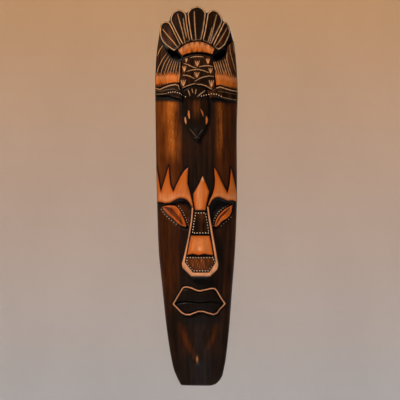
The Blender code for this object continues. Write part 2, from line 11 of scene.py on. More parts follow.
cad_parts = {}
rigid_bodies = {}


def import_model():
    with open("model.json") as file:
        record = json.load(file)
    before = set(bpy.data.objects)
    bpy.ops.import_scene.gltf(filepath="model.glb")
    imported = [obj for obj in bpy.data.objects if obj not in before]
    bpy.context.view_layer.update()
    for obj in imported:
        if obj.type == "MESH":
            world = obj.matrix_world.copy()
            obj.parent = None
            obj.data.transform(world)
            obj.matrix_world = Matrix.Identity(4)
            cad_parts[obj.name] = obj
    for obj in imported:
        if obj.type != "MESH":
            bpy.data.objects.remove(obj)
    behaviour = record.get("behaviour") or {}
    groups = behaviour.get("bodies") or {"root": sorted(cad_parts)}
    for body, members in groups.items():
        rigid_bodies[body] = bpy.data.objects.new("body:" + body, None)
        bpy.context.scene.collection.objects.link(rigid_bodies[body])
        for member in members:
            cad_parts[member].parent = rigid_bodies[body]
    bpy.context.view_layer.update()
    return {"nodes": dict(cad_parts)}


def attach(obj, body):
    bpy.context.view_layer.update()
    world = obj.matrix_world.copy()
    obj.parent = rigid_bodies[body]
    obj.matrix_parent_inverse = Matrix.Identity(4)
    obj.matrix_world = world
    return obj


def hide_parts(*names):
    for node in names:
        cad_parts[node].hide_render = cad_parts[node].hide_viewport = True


# A long wall mask carved from one piece of light wood, stained, scorched and waxed.
# Lists of places below are (x, z) in millimetres, seen from the front.

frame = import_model()
nodes = frame["nodes"]
toMetres = 0.001
toMillimetres = 1000.0
nodeMerge = 0.00002  # metres within which a frame node's loose corners join up


def holderFor(name, data):
    holder = bpy.data.objects.new(name, data)
    bpy.context.scene.collection.objects.link(holder)
    return holder


def pickOnly(piece):
    bpy.ops.object.select_all(action="DESELECT")
    piece.select_set(True)
    bpy.context.view_layer.objects.active = piece


def applyModifiers(piece):
    pickOnly(piece)
    for modifier in list(piece.modifiers):
        bpy.ops.object.modifier_apply(modifier=modifier.name)


def ease(low, high, value):
    t = np.clip((value - low) / (high - low), 0.0, 1.0)
    return t * t * (3.0 - 2.0 * t)


def bump(value, centre, reach):
    return np.exp(-((value - centre) / reach) ** 2)


def glow(work, middleX, middleZ, halfWidth, halfHeight):
    # A soft patch, 1 at its middle.
    return np.exp(-((work.x - middleX) / halfWidth) ** 2 - ((work.z - middleZ) / halfHeight) ** 2)


def pieceName(node, ending):
    return node.replace("_", "") + ending


def copyNode(node, name, mergeWithin, quads=False):
    # The frame node's shape as a piece of its own, its loose triangles joined up.
    piece = holderFor(name, nodes[node].data.copy())
    pickOnly(piece)
    bpy.ops.object.mode_set(mode="EDIT")
    bpy.ops.mesh.select_all(action="SELECT")
    bpy.ops.mesh.remove_doubles(threshold=mergeWithin)
    if quads:
        bpy.ops.mesh.tris_convert_to_quads()
    bpy.ops.object.mode_set(mode="OBJECT")
    piece.data.materials.clear()
    return piece


def blankFrom(node, name, look):
    # A fine even skin over the frame node, rubbed soft and ready for carving.
    piece = copyNode(node, name, nodeMerge)
    skin = piece.modifiers.new("evenSkin", "REMESH")
    skin.mode = "VOXEL"
    skin.voxel_size = look["grain"] * toMetres
    rub = piece.modifiers.new("rubbedEdges", "SMOOTH")
    rub.factor = 0.5
    rub.iterations = look["soften"]
    applyModifiers(piece)
    bpy.ops.object.shade_smooth()
    return piece


def edgePoints(names, spacing=0.8):
    # Points along the front edge of the named frame nodes, where the face turns into the side wall.
    found = []
    for name in names:
        shape = bmesh.new()
        shape.from_mesh(nodes[name].data)
        bmesh.ops.remove_doubles(shape, verts=shape.verts, dist=nodeMerge)
        for edge in shape.edges:
            if len(edge.link_faces) != 2:
                continue
            tilts = sorted(face.normal.y for face in edge.link_faces)
            if tilts[0] < -0.3 and abs(tilts[1]) < 0.2:
                a, b = (vert.co * toMillimetres for vert in edge.verts)
                count = max(1, int((b - a).length / spacing))
                found += [a.lerp(b, step / count) for step in range(count + 1)]
        shape.free()
    tree = KDTree(len(found))
    for number, point in enumerate(found):
        tree.insert((point.x, 0.0, point.z), number)
    tree.balance()
    return tree


def lineDistance(x, z, line):
    # Distance from a bent line, and how far along it the nearest place is, from 0 to 1.
    nearest = np.full(len(x), 1000.0)
    along = np.zeros(len(x))
    total = sum(math.dist(a, b) for a, b in zip(line, line[1:]))
    done = 0.0
    for (ax, az), (bx, bz) in zip(line, line[1:]):
        dx, dz = bx - ax, bz - az
        leg = math.hypot(dx, dz)
        t = np.clip(((x - ax) * dx + (z - az) * dz) / (leg * leg), 0.0, 1.0)
        away = np.hypot(x - ax - t * dx, z - az - t * dz)
        closer = away < nearest
        nearest = np.where(closer, away, nearest)
        along = np.where(closer, (done + t * leg) / total, along)
        done += leg
    return nearest, along


def insideOutline(x, z, outline):
    # Distance inside a closed outline, below zero outside it.
    inside = np.zeros(len(x), bool)
    for (ax, az), (bx, bz) in zip(outline, outline[1:] + outline[:1]):
        crosses = (az > z) != (bz > z)
        level = ax + (z - az) * (bx - ax) / ((bz - az) or 1e-9)
        inside ^= crosses & (x < level)
    away, _ = lineDistance(x, z, outline + outline[:1])
    return np.where(inside, away, -away)


class Surface:
    # The working copy of a piece: its points in millimetres and the finish painted on them.
    def __init__(self, piece, edgeNames):
        self.piece = piece
        mesh = piece.data
        count = len(mesh.vertices)
        flat = np.zeros(count * 3)
        mesh.vertices.foreach_get("co", flat)
        self.points = flat.reshape(-1, 3) * toMillimetres
        mesh.vertices.foreach_get("normal", flat)
        self.normals = flat.reshape(-1, 3).copy()
        self.x, self.y, self.z = self.points.T.copy()
        self.front = ease(0.2, 0.55, -self.normals[:, 1])
        tree = edgePoints(edgeNames)
        self.edge = np.array([tree.find((x, 0.0, z))[2] for x, z in zip(self.x, self.z)])
        self.sink = np.zeros(count)
        self.bare = np.zeros(count)
        self.burn = np.zeros(count)
        self.amber = np.zeros(count)
        self.brown = np.zeros(count)

    def paint(self, layer, amount):
        # Lays a finish on, without thinning what is already there.
        setattr(self, layer, np.maximum(getattr(self, layer), amount))

    def cutLine(self, line, width, depth, light=1.0, scorch=0.6, taper=0.55):
        # A gouged line: light wood at its bottom and a scorched lip on both sides.
        away, along = lineDistance(self.x, self.z, line)
        half = 0.5 * width * (1.0 - taper + taper * np.sin(math.pi * np.clip(along, 0.04, 0.96)) ** 0.6)
        inside = 1.0 - ease(half - 0.45, half + 0.5, away)
        lip = bump(away, half + 1.4, 1.1)
        wander = 0.85 + 0.15 * np.sin(0.9 * self.x + 0.7 * self.z)
        self.sink = np.maximum(self.sink, depth * inside * self.front)
        self.paint("bare", light * wander * inside * self.front)
        self.burn = np.maximum(self.burn * (1.0 - inside), scorch * lip * self.front)

    def finish(self):
        mesh = self.piece.data
        self.points[:, 1] = self.y + self.sink
        mesh.vertices.foreach_set("co", (self.points * toMetres).ravel())
        for name in ("bare", "burn", "amber", "brown"):
            layer = mesh.attributes.new(name, "FLOAT", "POINT")
            layer.data.foreach_set("value", np.clip(getattr(self, name), 0.0, 1.0).astype(np.float32))
        mesh.update()


def feed(tree, value, socket):
    # Wires another node's output to the socket, or sets a plain value on it.
    if isinstance(value, bpy.types.NodeSocket):
        tree.links.new(value, socket)
    else:
        socket.default_value = value


def addNode(tree, kind, **inputs):
    node = tree.nodes.new(kind)
    for name, value in inputs.items():
        feed(tree, value, node.inputs[name])
    return node


def mathNode(tree, operation, first, second, clamp=False):
    node = tree.nodes.new("ShaderNodeMath")
    node.operation = operation
    node.use_clamp = clamp
    feed(tree, first, node.inputs[0])
    feed(tree, second, node.inputs[1])
    return node.outputs[0]


def times(tree, first, second, clamp=False):
    return mathNode(tree, "MULTIPLY", first, second, clamp)


def plus(tree, first, second, clamp=False):
    return mathNode(tree, "ADD", first, second, clamp)


def minus(tree, first, second):
    return mathNode(tree, "SUBTRACT", first, second)


def mixColours(tree, amount, first, second, kind="MIX"):
    node = tree.nodes.new("ShaderNodeMix")
    node.data_type = "RGBA"
    node.blend_type = kind
    feed(tree, amount, node.inputs[0])
    feed(tree, first, node.inputs[6])
    feed(tree, second, node.inputs[7])
    return node.outputs[2]


def stretchedNoise(tree, place, stretch, scale, detail=3.0, roughness=0.55):
    mapping = addNode(tree, "ShaderNodeMapping", Vector=place, Scale=stretch)
    noise = addNode(tree, "ShaderNodeTexNoise", Vector=mapping.outputs[0], Scale=scale, Detail=detail,
                    Roughness=roughness)
    return noise.outputs["Fac"]


def newGroup(name, inputs, outputs):
    group = bpy.data.node_groups.new(name, "ShaderNodeTree")
    for title, kind, value in inputs:
        socket = group.interface.new_socket(title, in_out="INPUT", socket_type=kind)
        if value is not None:
            socket.default_value = value
    for title, kind in outputs:
        group.interface.new_socket(title, in_out="OUTPUT", socket_type=kind)
    return group, group.nodes.new("NodeGroupInput"), group.nodes.new("NodeGroupOutput")


def buildWoodFigure():
    # Long fibres, broad streaks and stain blotches, all running down the block.
    group, given, out = newGroup("woodFigure", [("Place", "NodeSocketVector", None)],
                                 [("Fibre", "NodeSocketFloat"), ("Streak", "NodeSocketFloat"),
                                  ("Blotch", "NodeSocketFloat")])
    place = given.outputs["Place"]
    fibre = stretchedNoise(group, place, (1.0, 1.0, 0.05), 620.0, 2.0, 0.6)
    streak = stretchedNoise(group, place, (1.0, 1.0, 0.07), 120.0, 4.0, 0.6)
    blotch = stretchedNoise(group, place, (1.0, 1.0, 0.4), 34.0, 3.0, 0.55)
    group.links.new(fibre, out.inputs["Fibre"])
    group.links.new(streak, out.inputs["Streak"])
    group.links.new(blotch, out.inputs["Blotch"])
    return group


def buildStainLayers():
    # Dark stain, rubbed back to brown, amber and bare wood, with scorching on top.
    colour = "NodeSocketColor"
    number = "NodeSocketFloat"
    group, given, out = newGroup("stainLayers", [
        ("Fibre", number, 0.5), ("Streak", number, 0.5), ("Blotch", number, 0.5),
        ("Brown", number, 0.0), ("Amber", number, 0.0), ("Bare", number, 0.0), ("Burn", number, 0.0),
        ("Base Colour", colour, None), ("Brown Colour", colour, None), ("Amber Colour", colour, None),
        ("Bare Colour", colour, None), ("Streakiness", number, 0.6)],
        [("Color", colour), ("Height", number), ("Cut", number)])
    ask = given.outputs
    spread = times(group, minus(group, ask["Streak"], 0.5), 3.0)
    blot = times(group, minus(group, ask["Blotch"], 0.5), 1.8)
    uneven = times(group, plus(group, spread, blot), ask["Streakiness"])

    def broken(amount, strength):
        # The layer breaks up along the streaks where it is thin, and is whole where it is 0 or 1.
        room = times(group, times(group, amount, minus(group, 1.0, amount)), 4.0)
        shift = times(group, times(group, uneven, room), strength)
        return plus(group, amount, shift, clamp=True)

    mottle = mixColours(group, times(group, ask["Streak"], 1.4, clamp=True), (0.35, 0.33, 0.32, 1.0),
                        (1.5, 1.45, 1.4, 1.0))
    base = mixColours(group, 0.55, ask["Base Colour"], mottle, "MULTIPLY")
    brown = mixColours(group, broken(ask["Brown"], 0.8), base, ask["Brown Colour"])
    amber = mixColours(group, broken(ask["Amber"], 0.8), brown, ask["Amber Colour"])
    bare = mixColours(group, ask["Bare"], amber, ask["Bare Colour"])
    tint = plus(group, times(group, uneven, 0.22), 1.0)
    tinted = mixColours(group, 1.0, bare, addGrey(group, tint), "MULTIPLY")
    fibreTint = plus(group, times(group, ask["Fibre"], 0.5), 0.75)
    fibrous = mixColours(group, 1.0, tinted, addGrey(group, fibreTint), "MULTIPLY")
    burnt = mixColours(group, times(group, ask["Burn"], 0.96), fibrous, (0.006, 0.0045, 0.004, 1.0))
    height = plus(group, times(group, ask["Fibre"], 0.5), times(group, ask["Streak"], 0.9))
    cut = mathNode(group, "MAXIMUM", ask["Bare"], ask["Burn"])
    group.links.new(burnt, out.inputs["Color"])
    group.links.new(height, out.inputs["Height"])
    group.links.new(cut, out.inputs["Cut"])
    return group


def addGrey(tree, value):
    node = tree.nodes.new("ShaderNodeCombineColor")
    for socket in node.inputs:
        tree.links.new(value, socket)
    return node.outputs[0]


woodFigure = buildWoodFigure()
stainLayers = buildStainLayers()

finishes = {
    "blockStain": {"base": (0.0100, 0.0050, 0.0030), "brown": (0.068, 0.0145, 0.0014),
                   "amber": (0.34, 0.082, 0.0085), "bare": (0.60, 0.24, 0.06), "streakiness": 0.72,
                   "roughness": 0.34, "specular": 0.17, "coat": 0.06, "bump": 0.25},
    "crestStain": {"base": (0.0080, 0.0034, 0.0014), "brown": (0.080, 0.0205, 0.0040),
                   "amber": (0.48, 0.110, 0.0130), "bare": (0.72, 0.36, 0.16), "streakiness": 0.9,
                   "roughness": 0.40, "specular": 0.10, "coat": 0.02, "bump": 0.35},
    "paleWood": {"base": (0.47, 0.125, 0.025), "brown": (0.16, 0.026, 0.0020), "amber": (0.44, 0.080, 0.0040),
                 "bare": (0.68, 0.270, 0.115), "streakiness": 0.9, "roughness": 0.42, "specular": 0.15,
                 "coat": 0.03, "bump": 0.25},
    "cutWood": {"base": (0.64, 0.27, 0.130), "brown": (0.38, 0.11, 0.025), "amber": (0.52, 0.17, 0.04),
                "bare": (0.70, 0.32, 0.17), "streakiness": 0.6, "roughness": 0.44, "specular": 0.18,
                "coat": 0.03, "bump": 0.25},
    "punchedWood": {"base": (0.16, 0.09, 0.05), "brown": (0.30, 0.12, 0.04), "amber": (0.52, 0.2, 0.06),
                    "bare": (0.86, 0.62, 0.42), "streakiness": 0.3, "roughness": 0.55, "specular": 0.15,
                    "coat": 0.0, "bump": 0.2},
}


def newMaterial(name):
    material = bpy.data.materials.new(name)
    material.use_nodes = True
    tree = material.node_tree
    place = tree.nodes.new("ShaderNodeTexCoord").outputs["Object"]
    return material, tree, tree.nodes["Principled BSDF"], place


def addRelief(tree, shader, height, strength, distance):
    relief = addNode(tree, "ShaderNodeBump", Height=height, Strength=strength, Distance=distance)
    tree.links.new(relief.outputs[0], shader.inputs["Normal"])


def makeWood(name):
    look = finishes[name]
    material, tree, shader, place = newMaterial(name)
    figure = tree.nodes.new("ShaderNodeGroup")
    figure.node_tree = woodFigure
    tree.links.new(place, figure.inputs["Place"])
    layers = tree.nodes.new("ShaderNodeGroup")
    layers.node_tree = stainLayers
    for title in ("Fibre", "Streak", "Blotch"):
        tree.links.new(figure.outputs[title], layers.inputs[title])
    for title in ("brown", "amber", "bare", "burn"):
        painted = tree.nodes.new("ShaderNodeAttribute")
        painted.attribute_name = title
        tree.links.new(painted.outputs["Fac"], layers.inputs[title.capitalize()])
    for title, key in (("Base Colour", "base"), ("Brown Colour", "brown"), ("Amber Colour", "amber"),
                       ("Bare Colour", "bare")):
        layers.inputs[title].default_value = (*look[key], 1.0)
    layers.inputs["Streakiness"].default_value = look["streakiness"]
    tree.links.new(layers.outputs["Color"], shader.inputs["Base Color"])
    rough = plus(tree, times(tree, figure.outputs["Blotch"], 0.22), look["roughness"] - 0.11)
    rough = plus(tree, rough, times(tree, layers.outputs["Cut"], 0.15), clamp=True)
    tree.links.new(rough, shader.inputs["Roughness"])
    addRelief(tree, shader, layers.outputs["Height"], look["bump"], 0.0006)
    shader.inputs["Specular IOR Level"].default_value = look["specular"]
    shader.inputs["Coat Weight"].default_value = look["coat"]
    shader.inputs["Coat Roughness"].default_value = 0.28
    return material


def makeRecessBlack():
    # Dull black in the two deep recesses of the crest.
    material, tree, shader, place = newMaterial("recessBlack")
    patchy = stretchedNoise(tree, place, (1.0, 1.0, 0.6), 240.0, 3.0, 0.6)
    colour = mixColours(tree, patchy, (0.0018, 0.0020, 0.0020, 1.0), (0.0060, 0.0055, 0.0050, 1.0))
    tree.links.new(colour, shader.inputs["Base Color"])
    addRelief(tree, shader, patchy, 0.4, 0.0004)
    shader.inputs["Roughness"].default_value = 0.8
    shader.inputs["Specular IOR Level"].default_value = 0.06
    return material


def makeSteel():
    material, tree, shader, place = newMaterial("zincSteel")
    spangle = stretchedNoise(tree, place, (1.0, 1.0, 1.0), 900.0, 3.0, 0.6)
    dull = stretchedNoise(tree, place, (1.0, 1.0, 1.0), 160.0, 2.0, 0.5)
    colour = mixColours(tree, dull, (0.46, 0.45, 0.42, 1.0), (0.66, 0.65, 0.62, 1.0))
    tree.links.new(colour, shader.inputs["Base Color"])
    rough = plus(tree, times(tree, spangle, 0.3), 0.2)
    tree.links.new(rough, shader.inputs["Roughness"])
    shader.inputs["Metallic"].default_value = 1.0
    addRelief(tree, shader, spangle, 0.15, 0.0001)
    return material


woods = {name: makeWood(name) for name in finishes}
zincSteel = makeSteel()
recessBlack = makeRecessBlack()
print("finishes ready")


def hand(piece, node, wood, body="mask"):
    piece.data.materials.append(wood)
    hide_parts(node)
    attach(piece, body)
    return piece


block = {"grain": 2.55, "soften": 4, "groove": 1.2, "grooveReach": 3.2, "facetDepth": 0.2,
         "backBrown": 0.68, "backAmber": 0.10, "scallopDepth": 0.9, "scallopLength": 46.0}
reliefNodes = [name for name in nodes if name != "mask_body" and not name.startswith("hanger")]
# Rubbed streaks of the forehead, partly worn stain and partly painted light from the left: x, reach, the two
# heights between which each fades in, strength.
rubbedAndLitStreaks = [(-66.0, 13.0, -405.0, -335.0, 0.78), (-78.0, 10.0, -310.0, -250.0, 0.468),
                 (60.0, 7.0, -390.0, -330.0, 0.34)]
# Painted shade in black ovals: x and z of the middle, half the width, half the height.
socketShade = [(-38.0, -490.0, 28.0, 11.0), (60.0, -507.0, 30.0, 26.0), (43.0, -535.0, 9.0, 24.0)]
noseAndMouthShadow = [(8.0, -708.0, 44.0, 17.0), (8.0, -803.0, 56.0, 15.0)]
socketFold = [(-52.0, -500.0), (-36.0, -506.0), (-26.0, -522.0), (-18.0, -550.0)]
chinRidges = [([(-44.0, -815.0), (-31.0, -856.0), (-8.0, -902.0)], 0.95),
              ([(54.0, -808.0), (46.0, -845.0), (30.0, -880.0)], 0.85)]
recesses = [
    [(-82, -87), (-74, -107), (-64, -116), (-53, -120.5), (-41, -120.5), (-38, -113), (-47, -102),
     (-55, -97)],
    [(39, -118), (43, -107), (52, -99), (64, -93), (76, -90), (78, -100), (75, -111), (64, -119),
     (52, -122)],
]


def oval(work, place):
    middleX, middleZ, halfWidth, halfHeight = place
    away = ((work.x - middleX) / halfWidth) ** 2 + ((work.z - middleZ) / halfHeight) ** 2
    return np.exp(-away**2)


def grooveBlock(work):
    # A scorched groove round each relief, and long shallow facets left by the gouge.
    x, z, front = work.x, work.z, work.front
    grooved = 1.0 - ease(0.5, block["grooveReach"], work.edge)
    work.sink += block["groove"] * grooved * front
    work.burn = 0.95 * (1.0 - ease(1.5, 5.5, work.edge)) * front
    facets = np.sin(x * 0.42 + 1.7 * np.sin(z * 0.013)) + 0.6 * np.sin(x * 0.23 - z * 0.021)
    work.sink += block["facetDepth"] * front * facets * ease(4.0, 12.0, work.edge)


def stainForehead(work):
    x, z = work.x, work.z
    forehead = ease(-475.0, -440.0, z) * (1.0 - ease(-234.0, -224.0, z))
    # The left side, browner and more amber than the right, is partly rubbed stain and partly painted light
    # from the left.
    left = 1.0 - ease(-58.0, -34.0, x)
    right = ease(44.0, 58.0, x)
    work.brown = forehead * (0.90 * left + 0.50 * right + 0.12)
    work.amber = forehead * 0.08 * left
    for middle, reach, fadeFrom, fadeTo, strength in rubbedAndLitStreaks:
        work.amber += strength * forehead * bump(x, middle, reach) * ease(fadeFrom, fadeTo, z)
    # Small worn flecks on the rubbed streaks.
    flecks = np.sin(0.83 * x + 0.11 * z) * np.sin(0.31 * x - 0.21 * z) * np.sin(0.057 * z + 0.4 * x)
    worn = ease(0.30, 0.70, flecks) * forehead
    work.bare = 0.40 * worn * (bump(x, -66.0, 8.0) + 0.5 * bump(x, 60.0, 6.0)) * ease(-385.0, -330.0, z)
    # Painted shadow under the hems, in black.
    hemShadow = ease(-242.0, -226.0, z) * (1.0 - ease(-205.0, -195.0, z))
    work.paint("burn", 0.9 * hemShadow * (1.0 - ease(7.0, 15.0, work.edge)) * work.front)


def stainCheeks(work):
    x, z = work.x, work.z
    cheek = 1.0 - ease(-530.0, -500.0, z)
    low = ease(-810.0, -690.0, z)
    # Painted light from the left: the lower cheeks are browner on the left than on the right.
    work.brown += cheek * low * (0.42 * (1.0 - ease(-62.0, -38.0, x)) + 0.16 * ease(52.0, 80.0, x))
    work.brown += 0.10 * cheek
    crestSides = ease(-215.0, -205.0, z) * ease(90.0, 98.0, np.abs(x))
    work.brown += 0.6 * crestSides
    # Sockets: painted shade, black under the brows, browner towards the left eye.
    for place in socketShade:
        work.paint("burn", 0.9 * oval(work, place) * work.front)
    away, _ = lineDistance(x, z, socketFold)
    socketBrown = np.exp(-(away / 9.0) ** 2)
    work.paint("brown", 0.8 * socketBrown)
    work.burn *= 1.0 - 0.8 * socketBrown
    # Painted shadow, black under the nose and the mouth.
    for place in noseAndMouthShadow:
        shadowOval = oval(work, place)
        work.paint("burn", 0.65 * shadowOval * work.front)
        work.brown *= 1.0 - 0.8 * shadowOval


def stainChin(work):
    x, z, front = work.x, work.z, work.front
    work.brown *= 1.0 - 0.75 * (1.0 - ease(-930.0, -860.0, z)) * (work.normals[:, 1] < 0.0)
    # Rubbed ridges and the bare speck where they meet.
    for ridge, strength in chinRidges:
        away, along = lineDistance(x, z, ridge)
        rub = np.exp(-(away / 7.0) ** 2) * np.sin(math.pi * np.clip(along, 0.05, 0.95)) ** 0.5
        work.paint("brown", strength * rub * front)
    speck = glow(work, 0.5, -908.0, 2.0, 6.5)
    work.paint("bare", 0.9 * speck * front)
    work.paint("amber", 0.6 * speck * front)


def blackenRecesses(work):
    # The two deep recesses beside the bird's back are black inside.
    blackInside = np.zeros(len(work.x), bool)
    for outline in recesses:
        within = ease(-1.0, 1.0, insideOutline(work.x, work.z, outline)) * (work.y < -10.0)
        work.paint("burn", within)
        work.brown *= 1.0 - within
        blackInside |= within > 0.5
    return blackInside


def stainBack(work):
    # Plain streaky brown stain, and the scallops of a broad gouge on the hollow's floor.
    rear = ease(0.0, 0.5, work.normals[:, 1])
    work.brown = np.where(rear > 0.5, block["backBrown"], work.brown)
    work.amber = np.where(rear > 0.5, block["backAmber"], work.amber)
    hollowFloor = rear * (work.y < -8.0) * ease(6.0, 14.0, work.edge)
    row = work.z / block["scallopLength"]
    scallop = np.abs(np.sin(0.19 * work.x + 1.3 * np.floor(row)))
    scallop *= 0.4 + 0.6 * np.abs(np.sin(math.pi * row))
    work.sink -= block["scallopDepth"] * hollowFloor * scallop


def makeBlock():
    piece = blankFrom("mask_body", "carvedBlock", block)
    work = Surface(piece, reliefNodes)
    grooveBlock(work)
    stainForehead(work)
    stainCheeks(work)
    stainChin(work)
    blackInside = blackenRecesses(work)
    stainBack(work)
    work.finish()
    hand(piece, "mask_body", woods["blockStain"])
    piece.data.materials.append(recessBlack)
    for face in piece.data.polygons:
        if all(blackInside[corner] for corner in face.vertices):
            face.material_index = 1
    return piece


carvedBlock = makeBlock()
print("block carved")

feathers = {"grain": 1.0, "soften": 3, "rim": 2.6, "scoop": 1.8, "spineWidth": 2.8, "spineDepth": 0.9}
# Each feather: how brown its blade is, and the gouged lines down it.
featherSpines = {
    "feather_middle": (0.03, [[(-7, 8), (-6, -20), (-4, -50), (-2, -72)]]),
    "feather_inner_left": (0.22, [[(-51, 2), (-45, -20), (-38, -45), (-31, -76)],
                                  [(-36, -10), (-33, -35), (-27, -60)]]),
    "feather_inner_right": (0.22, [[(52, 0), (46, -24), (40, -50), (32, -78)],
                                   [(40, -34), (35, -54), (28, -74)]]),
    "feather_outer_left": (0.36, [[(-90, -38), (-76, -56), (-62, -72), (-48, -90)]]),
    "feather_outer_right": (0.36, [[(80, -34), (70, -52), (59, -70), (46, -88)]]),
}


def makeFeather(node, brown, spines):
    piece = blankFrom(node, pieceName(node, "Carved"), feathers)
    work = Surface(piece, [node])
    band = edgePoints(["feather_root_band"])
    root = np.array([band.find((x, 0.0, z))[2] for x, z in zip(work.x, work.z)])
    rimWidth = feathers["rim"]
    rim = 1.0 - ease(rimWidth, rimWidth + 1.1, work.edge)
    blade = ease(3.0, 9.0, root)
    work.sink += feathers["scoop"] * ease(rimWidth, rimWidth + 4.0, work.edge) * work.front
    work.sink += feathers["scoop"] * (1.0 - blade) * work.front
    work.sink += 1.2 * (1.0 - ease(0.0, 1.4, work.edge)) * work.front
    patchy = 0.82 + 0.18 * np.sin(0.35 * work.x + 0.22 * work.z)
    work.bare = 0.85 * patchy * rim * ease(0.3, 1.0, work.edge) * work.front * (0.25 + 0.75 * blade)
    lower = 1.0 - ease(-70.0, -20.0, work.z)
    work.brown = brown * (0.5 + 0.7 * lower) * work.front
    work.brown *= ease(rimWidth + 2.0, rimWidth + 8.0, work.edge)
    work.burn = 0.9 * bump(work.edge, rimWidth + 2.2, 1.6) * work.front
    for spine in spines:
        work.cutLine(spine, feathers["spineWidth"], feathers["scoop"] + feathers["spineDepth"], 0.62, 0.5)
    work.paint("burn", 0.9 * (1.0 - ease(0.1, 0.5, work.front)))
    work.finish()
    hand(piece, node, woods["crestStain"])


for featherNode, (featherBrown, spineLines) in featherSpines.items():
    makeFeather(featherNode, featherBrown, spineLines)
print("tail carved")

smallRelief = {"grain": 1.0, "soften": 3, "rimDrop": 1.3, "rimReach": 2.0}


def startRelief(node):
    # The usual start of a small relief: its rim rounded over and its sides scorched.
    piece = blankFrom(node, pieceName(node, "Carved"), smallRelief)
    work = Surface(piece, [node])
    rim = 1.0 - ease(0.0, smallRelief["rimReach"], work.edge)
    work.sink += smallRelief["rimDrop"] * rim * work.front
    work.burn = 0.9 * (1.0 - ease(0.1, 0.5, work.front))
    return piece, work


def saw(phase, sharpness=1.0):
    # Pointed teeth from 0 to 1.
    return (1.0 - np.abs(2.0 * (phase - np.floor(phase)) - 1.0)) ** sharpness


rootBand = {"top": -71.5, "drop": 22.5, "halfWidth": 50.0, "height": 28.0, "fanOut": 0.0035,
            "toothWidth": 7.4, "strandWidth": 3.7, "dartWidth": 8.6, "fringeWidth": 4.6}


def makeRootBand():
    # Orange strands that fan out below the tail, ragged above and burnt into points below.
    piece, work = startRelief("feather_root_band")
    x, z, front = work.x, work.z, work.front
    fan = x * (1.0 + rootBand["fanOut"] * (z + 95.0))
    upper = rootBand["top"] - rootBand["drop"] * (np.abs(x) / rootBand["halfWidth"]) ** 2
    down = (upper - z) / rootBand["height"]
    uneven = 0.65 + 0.35 * np.sin(fan * 0.43 + 1.0)
    teeth = saw(fan / rootBand["toothWidth"] + 0.35 * np.sin(fan * 0.31), 1.2) * uneven
    strands = saw(fan / rootBand["strandWidth"] + 0.3 * np.sin(0.4 * z), 3.0)
    work.brown = front * 1.0
    work.amber = front * (1.0 - 0.55 * strands)
    work.bare = 0.45 * front * (1.0 - ease(0.25, 0.75, down)) * (1.0 - strands) * uneven
    work.paint("burn", 0.85 * ease(0.92, 1.25, down + 0.45 * teeth) * front)
    darts = saw(fan / rootBand["dartWidth"] + 0.5, 6.0) * ease(0.1, 0.45, down) * uneven
    work.paint("burn", 0.7 * darts * front)
    fringe = saw(fan / rootBand["fringeWidth"] + 0.3 * np.sin(fan * 0.5), 0.8) * (1.3 - uneven)
    fringe = 0.08 + 0.34 * fringe
    work.paint("burn", 0.7 * (1.0 - ease(fringe - 0.16, fringe, down)) * front)
    work.sink += 0.8 * saw(fan / rootBand["dartWidth"], 2.0) * ease(0.3, 0.8, down) * front
    work.sink += 0.5 * strands * front
    work.finish()
    hand(piece, "feather_root_band", woods["crestStain"])


makeRootBand()

# Each wing: its outward side, its brown, the paleness of its lines, and where its orange band
# starts and ends at the middle and how much lower that is at the outer edge.
wings = {
    "wing_left": {"side": -1.0, "brown": 0.20, "light": 0.60, "top": -154.0, "topFall": 0.0, "base": -183.0,
                  "baseFall": 2.0, "lines": [
        [(-88, -78), (-98, -93), (-106, -112)], [(-79, -102), (-91, -118), (-101, -138), (-107, -160)],
        [(-74, -109), (-86, -128), (-93, -148), (-96, -160)], [(-70, -115), (-79, -134), (-86, -158)],
        [(-65, -119), (-73, -138), (-79, -156)], [(-60, -122), (-66, -138), (-71, -156)],
        [(-55, -124), (-60, -140), (-63, -156)], [(-50, -125), (-54, -142), (-56, -158)],
        [(-44, -125), (-46, -146), (-49, -180)]]},
    "wing_right": {"side": 1.0, "brown": 0.72, "light": 0.66, "top": -152.0, "topFall": 7.0, "base": -190.0,
                   "baseFall": 4.0, "lines": [
        [(79, -84), (79, -118), (84, -138), (93, -162)], [(86, -76), (88, -100), (95, -125), (103, -152)],
        [(73, -118), (79, -138), (87, -164)], [(67, -121), (73, -140), (80, -160)],
        [(61, -123), (66, -141), (72, -158)], [(55, -124), (60, -140), (65, -157)],
        [(49, -125), (54, -141), (59, -156)], [(44, -125), (48, -140), (53, -156)],
        [(95, -72), (99, -95), (105, -118)]]},
}


def makeWing(node):
    look = wings[node]
    piece, work = startRelief(node)
    x, z = work.x, work.z
    work.brown = look["brown"] * work.front
    slant = x - look["side"] * 0.28 * (z + 160.0)
    outward = ease(60.0, 105.0, np.abs(x))
    bandTop = look["top"] - look["topFall"] * outward
    bandBase = look["base"] - look["baseFall"] * outward
    uneven = 0.65 + 0.35 * np.sin(slant * 0.37 + 1.0)
    strands = saw(slant / 4.3 + 0.3 * np.sin(0.3 * z), 2.5) * uneven
    fringe = 12.0 * saw(slant / 6.8 + 0.3 * np.sin(slant * 0.4), 1.2) * uneven + 2.5 * np.sin(slant * 1.9)
    band = 1.0 - ease(bandTop - 11.0, bandTop + 1.0, z - fringe)
    work.amber = work.front * band * (1.0 - 0.65 * strands)
    work.paint("brown", 1.4 * work.amber)
    pale = bump(z, bandTop - 12.0, 7.0) * (0.3 + 0.7 * saw(slant / 5.3)) * uneven
    work.bare = 0.45 * work.amber * pale
    work.sink += 0.5 * strands * work.amber
    for line in look["lines"]:
        work.cutLine(line, 2.0, 0.9, look["light"], 0.6, 0.75)
    ragged = 4.0 * saw(slant / 6.4) + 2.0 * np.sin(slant * 1.3)
    work.paint("burn", 0.92 * (1.0 - ease(bandBase - 3.0, bandBase + 3.0, z - ragged)) * work.front)
    work.finish()
    hand(piece, node, woods["crestStain"])


for wingNode in wings:
    makeWing(wingNode)

